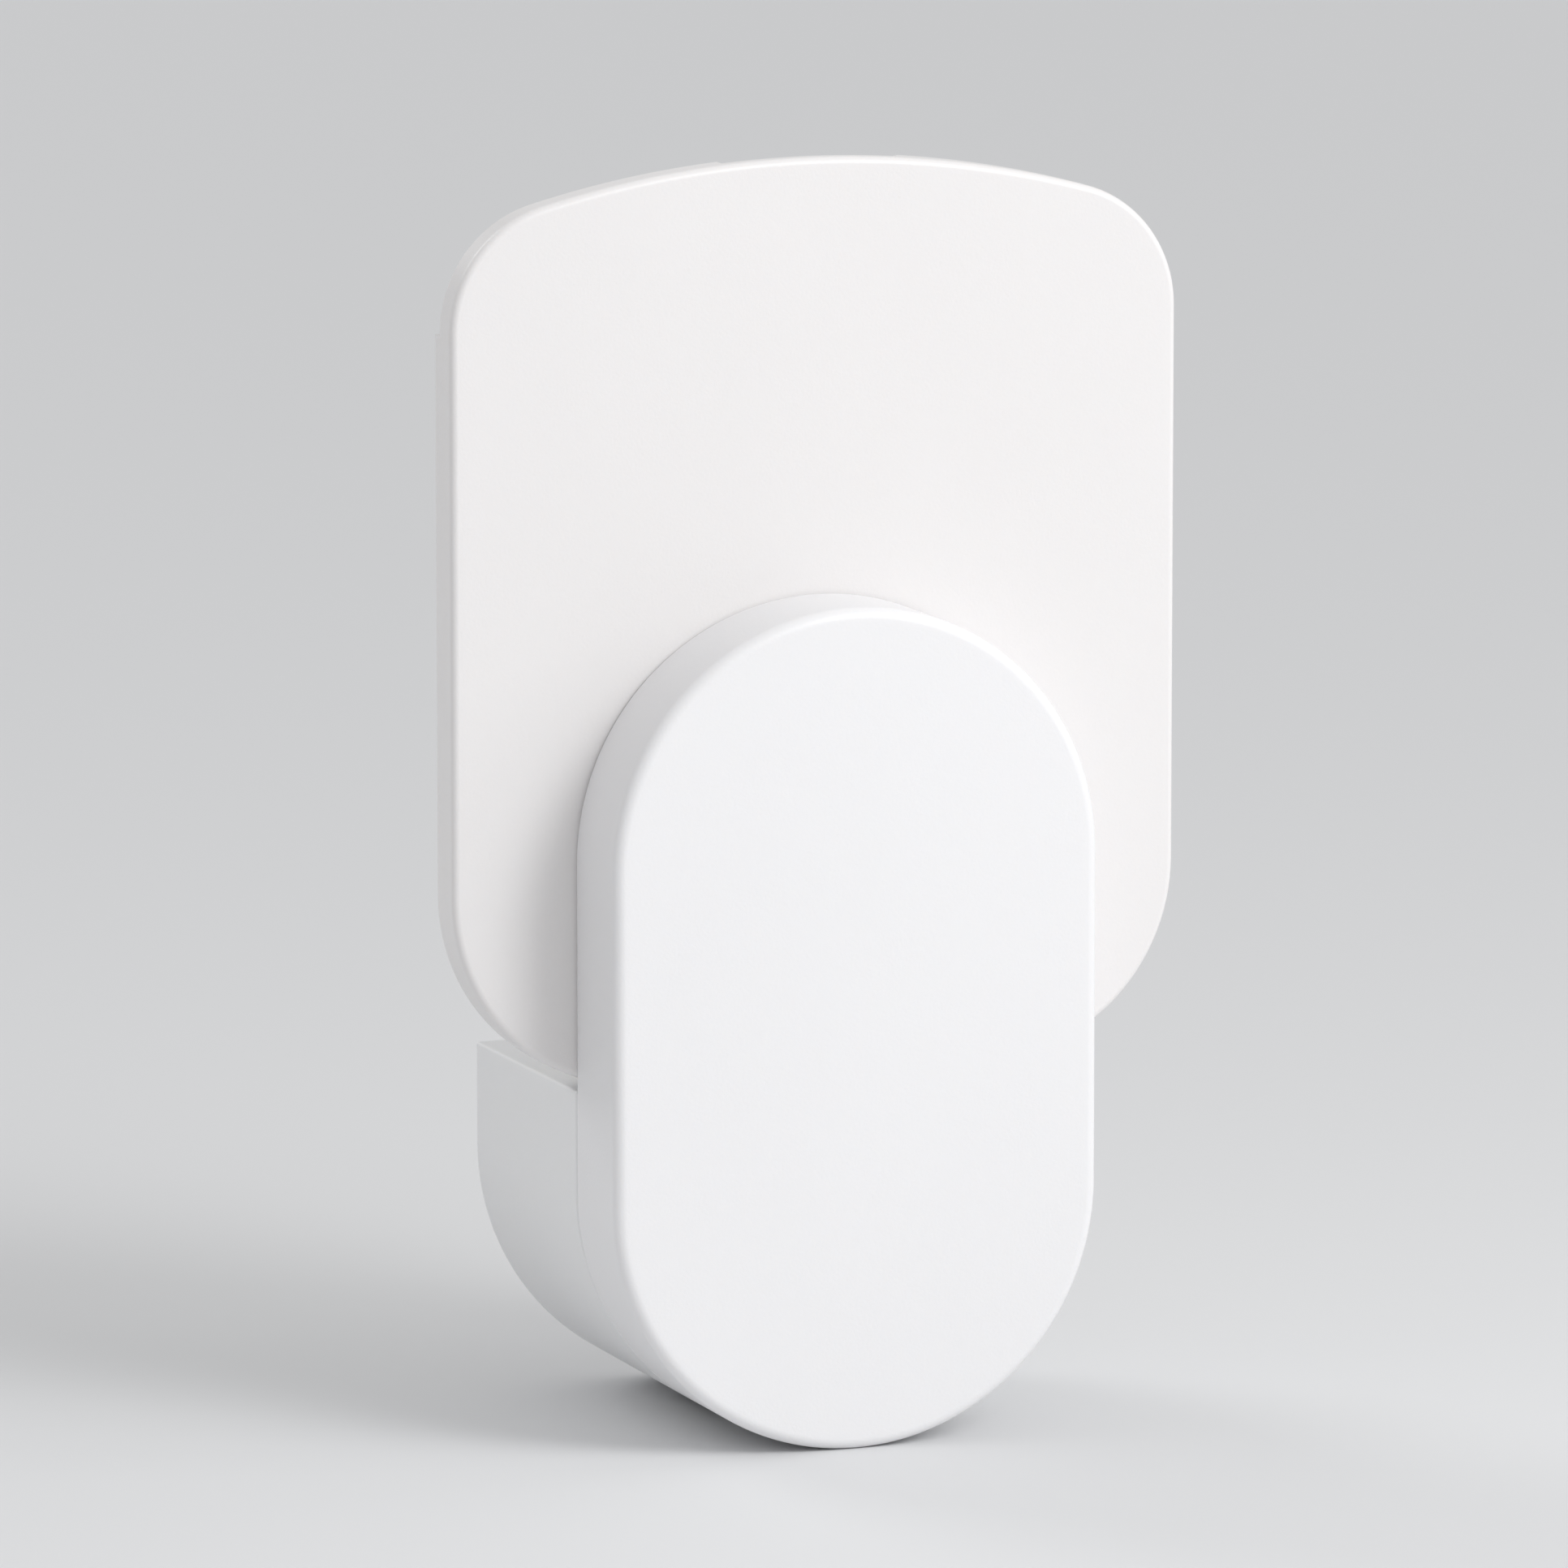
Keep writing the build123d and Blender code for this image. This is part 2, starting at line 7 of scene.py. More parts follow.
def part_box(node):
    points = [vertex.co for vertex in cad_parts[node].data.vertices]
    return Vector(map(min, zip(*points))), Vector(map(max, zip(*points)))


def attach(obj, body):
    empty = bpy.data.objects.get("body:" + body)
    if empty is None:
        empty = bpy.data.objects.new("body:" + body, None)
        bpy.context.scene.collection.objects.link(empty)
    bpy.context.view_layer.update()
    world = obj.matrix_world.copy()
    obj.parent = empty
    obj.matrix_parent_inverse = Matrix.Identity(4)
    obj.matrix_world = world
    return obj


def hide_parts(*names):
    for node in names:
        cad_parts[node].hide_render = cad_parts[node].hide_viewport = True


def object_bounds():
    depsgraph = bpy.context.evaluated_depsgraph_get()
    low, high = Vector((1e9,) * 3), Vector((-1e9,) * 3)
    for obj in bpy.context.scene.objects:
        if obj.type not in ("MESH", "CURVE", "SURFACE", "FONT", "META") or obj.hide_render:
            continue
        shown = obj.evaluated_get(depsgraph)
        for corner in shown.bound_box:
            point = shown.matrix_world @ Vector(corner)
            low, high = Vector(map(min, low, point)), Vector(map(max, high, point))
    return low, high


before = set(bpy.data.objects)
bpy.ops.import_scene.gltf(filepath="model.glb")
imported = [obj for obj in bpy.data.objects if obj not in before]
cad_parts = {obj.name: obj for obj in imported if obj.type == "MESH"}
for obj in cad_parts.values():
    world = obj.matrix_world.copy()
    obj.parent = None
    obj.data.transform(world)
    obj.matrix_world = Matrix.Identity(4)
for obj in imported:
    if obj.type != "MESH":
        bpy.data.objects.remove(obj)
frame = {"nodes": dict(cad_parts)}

CAD_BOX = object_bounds()
MM = 0.001

# ---- sizes, from the CAD frame and in metres -------------------------------------------
COVER_MIN, COVER_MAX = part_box("front_cover")
HOLDER_MIN, HOLDER_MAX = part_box("card_holder")
GLUE_MIN, GLUE_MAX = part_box("adhesive_layer")
LAMP_BOARD_MIN, LAMP_BOARD_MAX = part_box("led_board")
BOARD_MIN, BOARD_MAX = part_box("driver_board")

PILL_R = (COVER_MAX.x - COVER_MIN.x) / 2
PILL_LOW = COVER_MIN.z + PILL_R                 # heights of the pill's two centres
PILL_HIGH = COVER_MAX.z - PILL_R
COVER_FRONT = COVER_MIN.y
COVER_BACK = COVER_MAX.y
COVER_EDGE = 1.3 * MM
COVER_CROWN = 0.22 * MM
SHELL_WALL = 2.0 * MM
SHELL_INNER_R = 0.6 * MM
SEAM_CHAMFER = 0.2 * MM
PAST = 1.0 * MM                                 # how far a cutting shape reaches past what it cuts
SCREW_SPOTS = [(x * MM, z * MM) for x, z in ((-20, 7), (20, 7), (-11, -12), (11, -12))]
POST_R = 4.0 * MM
SCREW_R = 1.45 * MM
SCREW_HOLE_END = COVER_BACK - 8.0 * MM

HOLDER_HALF = (HOLDER_MAX.x - HOLDER_MIN.x) / 2
HOLDER_LOW = HOLDER_MIN.z
HOLDER_HIGH = HOLDER_MAX.z
HOLDER_FRONT = HOLDER_MIN.y
RIM_BACK = HOLDER_MAX.y
FOOT_R = 21.5 * MM
SHOULDER_R = 14.0 * MM
ARCH_R = 120.0 * MM
HOLDER_EDGE = 0.8 * MM
SKIN_BACK = HOLDER_FRONT + 2.0 * MM
RIM_WALL = 1.6 * MM
RIM_INNER_R = 0.4 * MM
RIM_LOWERED = 99 * MM                           # above here the rim is only as deep as the ribs
RIB_DEPTH = 1.7 * MM
RIB_HALF = 0.6 * MM
RIB_SPOTS = (-26 * MM, 0.0, 26 * MM)
RIB_LOW, RIB_HIGH = 26 * MM, 108 * MM
RAIL_LOW, RAIL_HIGH = 46 * MM, 94 * MM
RAIL_REACH = 2.4 * MM
RAIL_DEPTH = 1.0 * MM
THUMB_R = 14 * MM
THUMB_RISE = 9 * MM                             # from the plate's top up to the notch's centre
GLUE_INSET = 5.5 * MM
GLUE_BORDER = 1.2 * MM

BOARD_FRONT = BOARD_MIN.y
BOARD_REAR = BOARD_MAX.y
SOLDER_SPOTS = [(x * MM, z * MM) for x, z in (
    (-16.0, -1.25), (-6.0, -1.25), (10.5, -2.2), (15.5, -2.2), (7.2, 6.5), (10.8, 6.5),
    (-1.6, -13.0), (1.6, -13.0), (2.2, 1.6), (2.2, 10.8))]
SOLDER_SPOTS += [(x * MM, z * MM) for x in (-13.5, -10.2, -6.9, -3.6) for z in (2.0, 10.2)]
PAD_R = 1.05 * MM
LED_X = 9.0 * MM
LED_HALF = 1.75 * MM
LED_HEIGHT = 1.3 * MM                           # of the package, without its dome
LED_CUP_R = 1.5 * MM
LED_CUP_DEPTH = 0.6 * MM
LED_DOME_R = 1.45 * MM
LED_CHIP_HALF = 0.45 * MM
LED_PAD_X, LED_PAD_R = 1.5 * MM, 0.9 * MM


# ---- mesh helpers ----------------------------------------------------------------------
def new_object(name, bm, material=None, smooth_angle=35.0):
    """Turns a bmesh into a linked object with outward faces and crisp corners."""
    bmesh.ops.remove_doubles(bm, verts=bm.verts, dist=1e-7)
    bmesh.ops.recalc_face_normals(bm, faces=bm.faces)
    mesh = bpy.data.meshes.new(name)
    bm.to_mesh(mesh)
    bm.free()
    obj = bpy.data.objects.new(name, mesh)
    bpy.context.scene.collection.objects.link(obj)
    if material:
        mesh.materials.append(material)
    crisp(obj, smooth_angle)
    return obj


def crisp(obj, angle=35.0):
    """Smooth shading that stops at edges sharper than this angle, in degrees."""
    for polygon in obj.data.polygons:
        polygon.use_smooth = True
    obj.data.set_sharp_from_angle(angle=math.radians(angle))


def weigh_normals(obj):
    """Large flat faces keep their own normals beside small rounded ones."""
    step = obj.modifiers.new("normals", "WEIGHTED_NORMAL")
    step.keep_sharp = True
    step.weight = 100


def arc(cx, cz, radius, start, end, steps):
    """Points along an arc in X and Z, angles in degrees, both ends included."""
    turns = [math.radians(start + (end - start) * i / steps) for i in range(steps + 1)]
    return [(cx + radius * math.cos(t), cz + radius * math.sin(t)) for t in turns]


def line(a, b, steps):
    """Points strictly between two points."""
    (ax, az), (bx, bz) = a, b
    return [(ax + (bx - ax) * i / steps, az + (bz - az) * i / steps) for i in range(1, steps)]


def half_to_ring(right):
    """A closed outline from its right half, which runs from the foot up to the top on X = 0."""
    left = [(-x, z) for x, z in reversed(right[1:-1])]
    return right + left


def pill_ring(inset):
    """The cover's outline, this far inside its real one."""
    r = PILL_R - inset
    low = arc(0, PILL_LOW, r, -90, 0, 36)
    high = arc(0, PILL_HIGH, r, 0, 90, 36)
    return half_to_ring(low + line(low[-1], high[0], 12) + high)


def holder_half(inset):
    """The right half of the tall plate's outline, from its foot up to its top."""
    half = HOLDER_HALF - inset
    foot_x, foot_z = HOLDER_HALF - FOOT_R, HOLDER_LOW + FOOT_R
    shoulder_x = HOLDER_HALF - SHOULDER_R
    arch_z = HOLDER_HIGH - ARCH_R
    shoulder_z = arch_z + math.sqrt((ARCH_R - SHOULDER_R) ** 2 - shoulder_x ** 2)
    lean = math.degrees(math.atan2(shoulder_z - arch_z, shoulder_x))
    foot = arc(foot_x, foot_z, FOOT_R - inset, -90, 0, 28)
    shoulder = arc(shoulder_x, shoulder_z, SHOULDER_R - inset, 0, lean, 20)
    top = arc(0, arch_z, ARCH_R - inset, lean, 90, 20)
    base = [(0.0, HOLDER_LOW + inset)]
    base += line(base[0], foot[0], 10)
    side = line((half, foot_z), (half, shoulder_z), 24)
    return base + foot + side + shoulder + top[1:]


def holder_ring(inset):
    """The tall plate's outline, this far inside its real one."""
    return half_to_ring(holder_half(inset))


def rounded_square(cx, cz, half, radius, steps=8):
    """A square's outline in X and Z, with each corner an arc of this many steps."""
    points = []
    for sx, sz, turn in ((1, 1, 0), (-1, 1, 90), (-1, -1, 180), (1, -1, 270)):
        x, z = cx + sx * (half - radius), cz + sz * (half - radius)
        points += arc(x, z, radius, turn, turn + 90, steps)
    return points


def bridge(bm, a, b):
    """A band of four-sided faces between two closed rings of vertices."""
    count = len(a)
    for i in range(count):
        j = (i + 1) % count
        bm.faces.new((a[i], a[j], b[j], b[i]))


def loft(bm, rings):
    """Joins rings of points, each to the next, and closes both ends with a flat face."""
    made = [[bm.verts.new(point) for point in ring] for ring in rings]
    for a, b in zip(made, made[1:]):
        bridge(bm, a, b)
    bm.faces.new(made[0])
    bm.faces.new(made[-1])


def shell(bm, ring_at, profile):
    """Outlines in X and Z along a profile of (inset, y)."""
    loft(bm, [[(x, y, z) for x, z in ring_at(inset)] for inset, y in profile])


def rounding(inset, y, radius, steps, start=0.0, end=90.0):
    """Profile points round a quarter circle, from its front (0) to its outer side (90)."""
    turns = [math.radians(start + (end - start) * i / steps) for i in range(steps + 1)]
    return [(inset - radius * math.sin(t), y - radius * math.cos(t)) for t in turns]


def prism_x(bm, points, low, high):
    """A closed prism along X from an outline in Y and Z."""
    loft(bm, [[(x, y, z) for y, z in points] for x in (low, high)])


def prism_y(bm, points, low, high):
    """A closed prism along Y from an outline in X and Z."""
    loft(bm, [[(x, y, z) for x, z in points] for y in (low, high)])


def rod(bm, x, z, radius, low, high, steps=48):
    """A round bar along Y."""
    prism_y(bm, arc(x, z, radius, 0, 360, steps)[:-1], low, high)


def turned(bm, x, z, profile, steps):
    """A turned shape on an axis along Y, from a profile of (radius, y)."""
    loft(bm, [[(px, y, pz) for px, pz in arc(x, z, r, 0, 360, steps)[:-1]] for r, y in profile])


def combine(obj, operation, maker):
    """Joins a solid to an object or cuts it out of it, for good."""
    bm = bmesh.new()
    maker(bm)
    other = new_object("other", bm)
    step = obj.modifiers.new("combine", "BOOLEAN")
    step.operation = operation
    step.solver = "EXACT"
    step.object = other
    bpy.context.view_layer.update()
    result = bpy.data.meshes.new_from_object(obj.evaluated_get(bpy.context.evaluated_depsgraph_get()))
    obj.modifiers.remove(step)
    old = obj.data
    obj.data = result
    bpy.data.meshes.remove(old)
    bpy.data.objects.remove(other)
    bm = bmesh.new()
    bm.from_mesh(obj.data)
    bmesh.ops.remove_doubles(bm, verts=bm.verts, dist=2e-6)
    bmesh.ops.dissolve_degenerate(bm, edges=bm.edges, dist=1e-6)
    bm.to_mesh(obj.data)
    bm.free()
    crisp(obj)


# ---- material helpers ------------------------------------------------------------------
class Finish:
    """One material, built node by node. Lengths are in metres, in the object's own frame."""

    def __init__(self, name, colour, roughness, metallic=0.0):
        self.material = bpy.data.materials.new(name)
        self.material.use_nodes = True
        self.tree = self.material.node_tree
        self.shader = self.tree.nodes["Principled BSDF"]
        self.put("Base Color", (*colour, 1.0))
        self.put("Roughness", roughness)
        self.put("Metallic", metallic)
        self.place = self.add("ShaderNodeTexCoord").outputs["Object"]
        self.normal = None

    def add(self, kind, inputs=(), **settings):
        """A new node, with a value or a socket for each input that is given."""
        node = self.tree.nodes.new(kind)
        for key, value in settings.items():
            setattr(node, key, value)
        for key, value in dict(inputs).items():
            self.join(value, node.inputs[key])
        return node

    def join(self, value, socket):
        if isinstance(value, bpy.types.NodeSocket):
            self.tree.links.new(value, socket)
        else:
            socket.default_value = value

    def put(self, socket, value):
        """Sets or links one of the shader's own inputs."""
        self.join(value, self.shader.inputs[socket])

    def stretched(self, scale):
        return self.add("ShaderNodeMapping", {"Vector": self.place, "Scale": scale}).outputs["Vector"]

    def noise(self, size, detail=2.0, stretch=None):
        """Cloudy noise whose blobs are about this size; stretch draws them out along an axis."""
        place = self.stretched(stretch) if stretch else self.place
        inputs = {"Vector": place, "Scale": 1.0 / size, "Detail": detail}
        return self.add("ShaderNodeTexNoise", inputs).outputs["Fac"]

    def cells(self, size):
        """Distance to the nearest of many scattered points that are about this far apart."""
        inputs = {"Vector": self.place, "Scale": 1.0 / size}
        return self.add("ShaderNodeTexVoronoi", inputs).outputs["Distance"]

    def along(self, axis):
        return self.add("ShaderNodeSeparateXYZ", {"Vector": self.place}).outputs[axis]

    def math(self, operation, a, b=0.0):
        return self.add("ShaderNodeMath", {0: a, 1: b}, operation=operation).outputs[0]

    def distance(self, a, b):
        """The diagonal of two sides at right angles."""
        squares = self.math("ADD", self.math("POWER", a, 2.0), self.math("POWER", b, 2.0))
        return self.math("SQRT", squares)

    def between(self, value, low, high, low_out=0.0, high_out=1.0):
        """Rescales a value, clamped to the new range."""
        inputs = {"Value": value, "From Min": low, "From Max": high, "To Min": low_out, "To Max": high_out}
        return self.add("ShaderNodeMapRange", inputs).outputs["Result"]

    def inside(self, value, low, high, edge=0.00002):
        """1 between two lengths and 0 elsewhere."""
        rise = self.between(value, low - edge, low + edge)
        fall = self.between(value, high - edge, high + edge, 1.0, 0.0)
        return self.math("MULTIPLY", rise, fall)

    def shade(self, amount, a, b):
        """One colour where amount is 0 and another where it is 1."""
        mix = self.add("ShaderNodeMix", data_type="RGBA")
        self.join(amount, mix.inputs[0])
        for colour, socket in ((a, mix.inputs[6]), (b, mix.inputs[7])):
            self.join(colour if isinstance(colour, bpy.types.NodeSocket) else (*colour, 1.0), socket)
        return mix.outputs[2]

    def relief(self, height, depth, strength=1.0):
        """Adds surface relief on top of what is there; depth is its height in metres."""
        inputs = {"Height": height, "Distance": depth, "Strength": strength}
        if self.normal:
            inputs["Normal"] = self.normal
        self.normal = self.add("ShaderNodeBump", inputs).outputs["Normal"]
        self.put("Normal", self.normal)

    def depth(self, weight, radius):
        """Light that scatters a little under the surface."""
        self.put("Subsurface Weight", weight)
        self.put("Subsurface Radius", (1.0, 0.9, 0.8))
        self.put("Subsurface Scale", radius)


def moulded(name, colour, roughness, grain=0.35 * MM, grain_depth=20e-6):
    """Injection-moulded plastic: a fine spark-eroded grain, faint flow marks and uneven gloss."""
    f = Finish(name, colour, roughness)
    tone, gloss = 0.012, 0.035
    flow = f.noise(28 * MM, 3.0, (1.0, 1.0, 0.45))
    lighter = tuple(min(1.0, c + tone) for c in colour)
    darker = tuple(c - tone for c in colour)
    f.put("Base Color", f.shade(flow, darker, lighter))
    f.put("Roughness", f.between(f.noise(9 * MM, 4.0), 0.3, 0.7, roughness - gloss, roughness + gloss))
    f.relief(f.noise(17 * MM, 1.0), 14e-6, 0.5)
    f.relief(f.noise(grain, 3.0), grain_depth)
    f.put("IOR", 1.49)
    f.depth(0.12, 0.6 * MM)
    return f.material


def board_finish(name, node, mask, trace, pads):
    """A printed board: solder mask with traces under it, tinned pads and a bare glass-fibre edge."""
    f = Finish(name, mask, 0.32)
    low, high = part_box(node)
    x, y, z = (f.along(axis) for axis in "XYZ")
    bend, lane = f.math("MULTIPLY", f.math("ABSOLUTE", x), 0.35), 1.05 * MM
    lanes = f.math("PINGPONG", f.math("ADD", f.math("ADD", z, bend), 1.0), lane)
    broken = f.between(f.noise(7 * MM, 1.0, (1.0, 1.0, 0.6)), 0.44, 0.50)
    copper = f.math("MULTIPLY", f.between(lanes, 0.30 * MM, 0.36 * MM), broken)
    colour = f.shade(copper, mask, trace)
    pad = None
    for px, pz, radius in pads:
        away = f.distance(f.math("SUBTRACT", x, px), f.math("SUBTRACT", z, pz))
        spot = f.between(away, radius, radius + 0.05 * MM, 1.0, 0.0)
        pad = f.math("MAXIMUM", pad, spot) if pad else spot
    skin = 0.03 * MM
    core = f.inside(y, low.y + skin, high.y - skin, 0.004 * MM)
    weave = f.shade(f.noise(0.4 * MM, 1.0), (0.42, 0.40, 0.22), (0.56, 0.54, 0.34))
    colour = f.shade(pad, colour, (0.72, 0.72, 0.70))
    f.put("Base Color", f.shade(core, colour, weave))
    f.put("Metallic", f.math("MULTIPLY", pad, f.math("SUBTRACT", 1.0, core)))
    f.put("Roughness", f.between(core, 0.0, 1.0, 0.30, 0.75))
    f.relief(copper, 0.03 * MM)
    f.relief(f.noise(0.5 * MM, 2.0), 2e-6)
    return f.material


def metal(name, colour, roughness, grain=(1.0, 1.0, 1.0)):
    """Drawn or stamped metal, its fine lines stretched along one axis."""
    f = Finish(name, colour, roughness, 1.0)
    lines = f.noise(0.3 * MM, 2.0, grain)
    dull = tuple(c * 0.94 for c in colour)
    f.put("Base Color", f.shade(f.noise(4 * MM, 2.0), dull, colour))
    f.put("Roughness", f.between(lines, 0.25, 0.75, roughness - 0.04, roughness + 0.06))
    f.relief(lines, 0.8e-6)
    f.relief(f.noise(2.5 * MM, 1.0), 4e-6, 0.5)
    return f.material


def component(name, colour, roughness, wire, grain=1.5e-6):
    """A coated electronic part: wire(f) says where its tinned legs are, and is None without legs."""
    f = Finish(name, colour, roughness)
    tone = tuple(c * 0.88 for c in colour)
    body = f.shade(f.noise(2.2 * MM, 3.0), tone, colour)
    legs = wire(f) if wire else None
    if legs:
        body = f.shade(legs, body, (0.70, 0.70, 0.68))
        f.put("Metallic", legs)
    f.put("Base Color", body)
    f.put("Roughness", f.between(f.noise(1.1 * MM, 2.0), 0.3, 0.7, roughness - 0.04, roughness + 0.06))
    f.relief(f.noise(0.35 * MM, 2.0), grain)
    return f.material


def near_board(reach):
    """The stretch of a part within this distance of the board's front face."""
    edge = BOARD_FRONT - reach
    return lambda f: f.between(f.along("Y"), edge - 0.02 * MM, edge + 0.02 * MM)


def banded(name, colour, bands, ends, roughness):
    """A part along Z with bands of (low, high, colour), and tinned wires past its two ends."""
    f = Finish(name, colour, roughness)
    z = f.along("Z")
    body = f.shade(f.noise(1.5 * MM, 2.0), tuple(c * 0.9 for c in colour), colour)
    for low, high, band in bands:
        body = f.shade(f.inside(z, low, high), body, band)
    wires = f.math("SUBTRACT", 1.0, f.inside(z, *ends))
    f.put("Base Color", f.shade(wires, body, (0.70, 0.70, 0.68)))
    f.put("Metallic", wires)
    f.relief(f.noise(0.4 * MM, 2.0), 2e-6)
    return f.material


def two_leads(name, left, right):
    """A pair of insulated leads, one colour each side of the middle plane."""
    f = Finish(name, left, 0.42)
    side = f.between(f.along("X"), -0.01 * MM, 0.01 * MM)
    pair = f.shade(side, left, right)
    scuff = f.math("MULTIPLY", f.noise(1.2 * MM, 2.0), 0.25)
    f.put("Base Color", f.shade(scuff, pair, (0.3, 0.3, 0.3)))
    f.relief(f.noise(0.25 * MM, 2.0), 4e-6)
    f.depth(0.1, 0.3 * MM)
    return f.material


def frosted(name):
    """Opal diffuser plastic, milky right through with a fine blasted surface."""
    f = Finish(name, (0.88, 0.90, 0.945), 0.30)
    f.put("Base Color", f.shade(f.noise(12 * MM, 2.0), (0.87, 0.892, 0.942), (0.90, 0.915, 0.952)))
    f.put("Roughness", f.between(f.noise(2.5 * MM, 3.0), 0.3, 0.7, 0.32, 0.44))
    f.relief(f.noise(0.22 * MM, 3.0), 4e-6)
    f.put("IOR", 1.49)
    f.depth(0.3, 1.2 * MM)
    return f.material


def clear_epoxy(name, colour):
    """Tinted clear resin, very slightly wavy."""
    f = Finish(name, colour, 0.06)
    f.put("Transmission Weight", 0.85)
    f.put("IOR", 1.5)
    f.relief(f.noise(0.9 * MM, 1.0), 3e-6, 0.6)
    return f.material


def paperboard(name):
    """Coated card: a smooth face over fibres, with cut edges that show the grey middle."""
    f = Finish(name, (0.84, 0.83, 0.80), 0.55)
    low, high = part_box("glue_card")
    fibres = f.noise(0.5 * MM, 4.0, (1.0, 1.0, 0.3))
    face = f.shade(f.noise(14 * MM, 4.0), (0.83, 0.825, 0.80), (0.875, 0.87, 0.855))
    middle = f.inside(f.along("Y"), low.y + 0.06 * MM, high.y - 0.06 * MM, 0.01 * MM)
    core = f.shade(fibres, (0.60, 0.57, 0.50), (0.76, 0.74, 0.68))
    f.put("Base Color", f.shade(middle, face, core))
    f.put("Roughness", f.between(f.noise(5 * MM, 3.0), 0.3, 0.7, 0.48, 0.62))
    f.relief(fibres, 9e-6)
    return f.material


def tacky_glue(name):
    """A clear coat of never-drying glue, faintly yellow, with roller streaks and a few bubbles."""
    f = Finish(name, (0.86, 0.85, 0.76), 0.13)
    streaks = f.noise(3.0 * MM, 2.0, (1.0, 1.0, 0.30))
    pools = f.noise(16 * MM, 2.0, (1.0, 1.0, 0.8))
    uneven = f.math("ADD", f.math("MULTIPLY", streaks, 0.18), f.math("MULTIPLY", pools, 0.82))
    thick = f.between(uneven, 0.34, 0.66)
    bubbles = f.between(f.cells(3.4 * MM), 0.06, 0.09, 1.0, 0.0)
    colour = f.shade(thick, (0.885, 0.858, 0.762), (0.875, 0.838, 0.712))
    f.put("Base Color", f.shade(bubbles, colour, (0.93, 0.925, 0.88)))
    f.put("Roughness", f.between(f.noise(6 * MM, 3.0), 0.3, 0.7, 0.08, 0.18))
    f.relief(streaks, 0.12 * MM)
    f.relief(f.noise(1.5 * MM, 2.0), 0.06 * MM)
    f.relief(bubbles, 0.05 * MM)
    f.put("Coat Weight", 1.0)
    f.put("Coat Roughness", 0.03)
    f.depth(0.2, 0.4 * MM)
    return f.material


def label_film(name):
    """A blank silver-grey film with a printed border and nothing else."""
    f = Finish(name, (0.62, 0.63, 0.65), 0.38)
    low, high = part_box("rating_label")
    border_in, border_out = 0.9 * MM, 0.6 * MM
    spans = []
    for inset in (border_out, border_in):
        wide = f.inside(f.along("X"), low.x + inset, high.x - inset)
        tall = f.inside(f.along("Z"), low.z + inset, high.z - inset)
        spans.append(f.math("MULTIPLY", wide, tall))
    border = f.math("SUBTRACT", spans[0], spans[1])
    film = f.shade(f.noise(4 * MM, 3.0), (0.60, 0.61, 0.63), (0.67, 0.68, 0.70))
    f.put("Base Color", f.shade(border, film, (0.10, 0.10, 0.11)))
    f.put("Metallic", 0.35)
    f.relief(f.noise(0.2 * MM, 2.0), 1.5e-6)
    return f.material


def capacitor_sleeve(name):
    """A dark sleeve with one pale stripe, shrunk round a bare can whose top is scored."""
    f = Finish(name, (0.03, 0.05, 0.16), 0.35)
    low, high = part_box("smoothing_capacitor")
    cx, cz = (low.x + high.x) / 2, (low.z + high.z) / 2
    x, z = f.math("SUBTRACT", f.along("X"), cx), f.math("SUBTRACT", f.along("Z"), cz)
    away = f.distance(x, z)
    front = f.between(f.along("Y"), low.y + 0.3 * MM, low.y + 0.32 * MM, 1.0, 0.0)
    top = f.math("MULTIPLY", front, f.between(away, 3.2 * MM, 3.25 * MM, 1.0, 0.0))
    stripe = f.between(x, -3.3 * MM, -3.25 * MM, 1.0, 0.0)
    sleeve = f.shade(stripe, (0.03, 0.05, 0.16), (0.62, 0.66, 0.74))
    f.put("Base Color", f.shade(top, sleeve, (0.82, 0.83, 0.84)))
    f.put("Metallic", top)
    score_x = f.between(f.math("ABSOLUTE", x), 0.12 * MM, 0.2 * MM)
    score_z = f.between(f.math("ABSOLUTE", z), 0.12 * MM, 0.2 * MM)
    scored = f.math("MAXIMUM", f.math("MULTIPLY", score_x, score_z), f.math("SUBTRACT", 1.0, top))
    f.relief(scored, 0.12 * MM)
    f.relief(f.noise(0.6 * MM, 2.0), 3e-6)
    return f.material


def winding(name):
    """Enamelled copper wire."""
    f = Finish(name, (0.72, 0.30, 0.12), 0.24, 1.0)
    f.put("Base Color", f.shade(f.noise(0.8 * MM, 2.0), (0.62, 0.23, 0.08), (0.80, 0.38, 0.17)))
    f.relief(f.noise(0.2 * MM, 1.0), 2e-6)
    return f.material


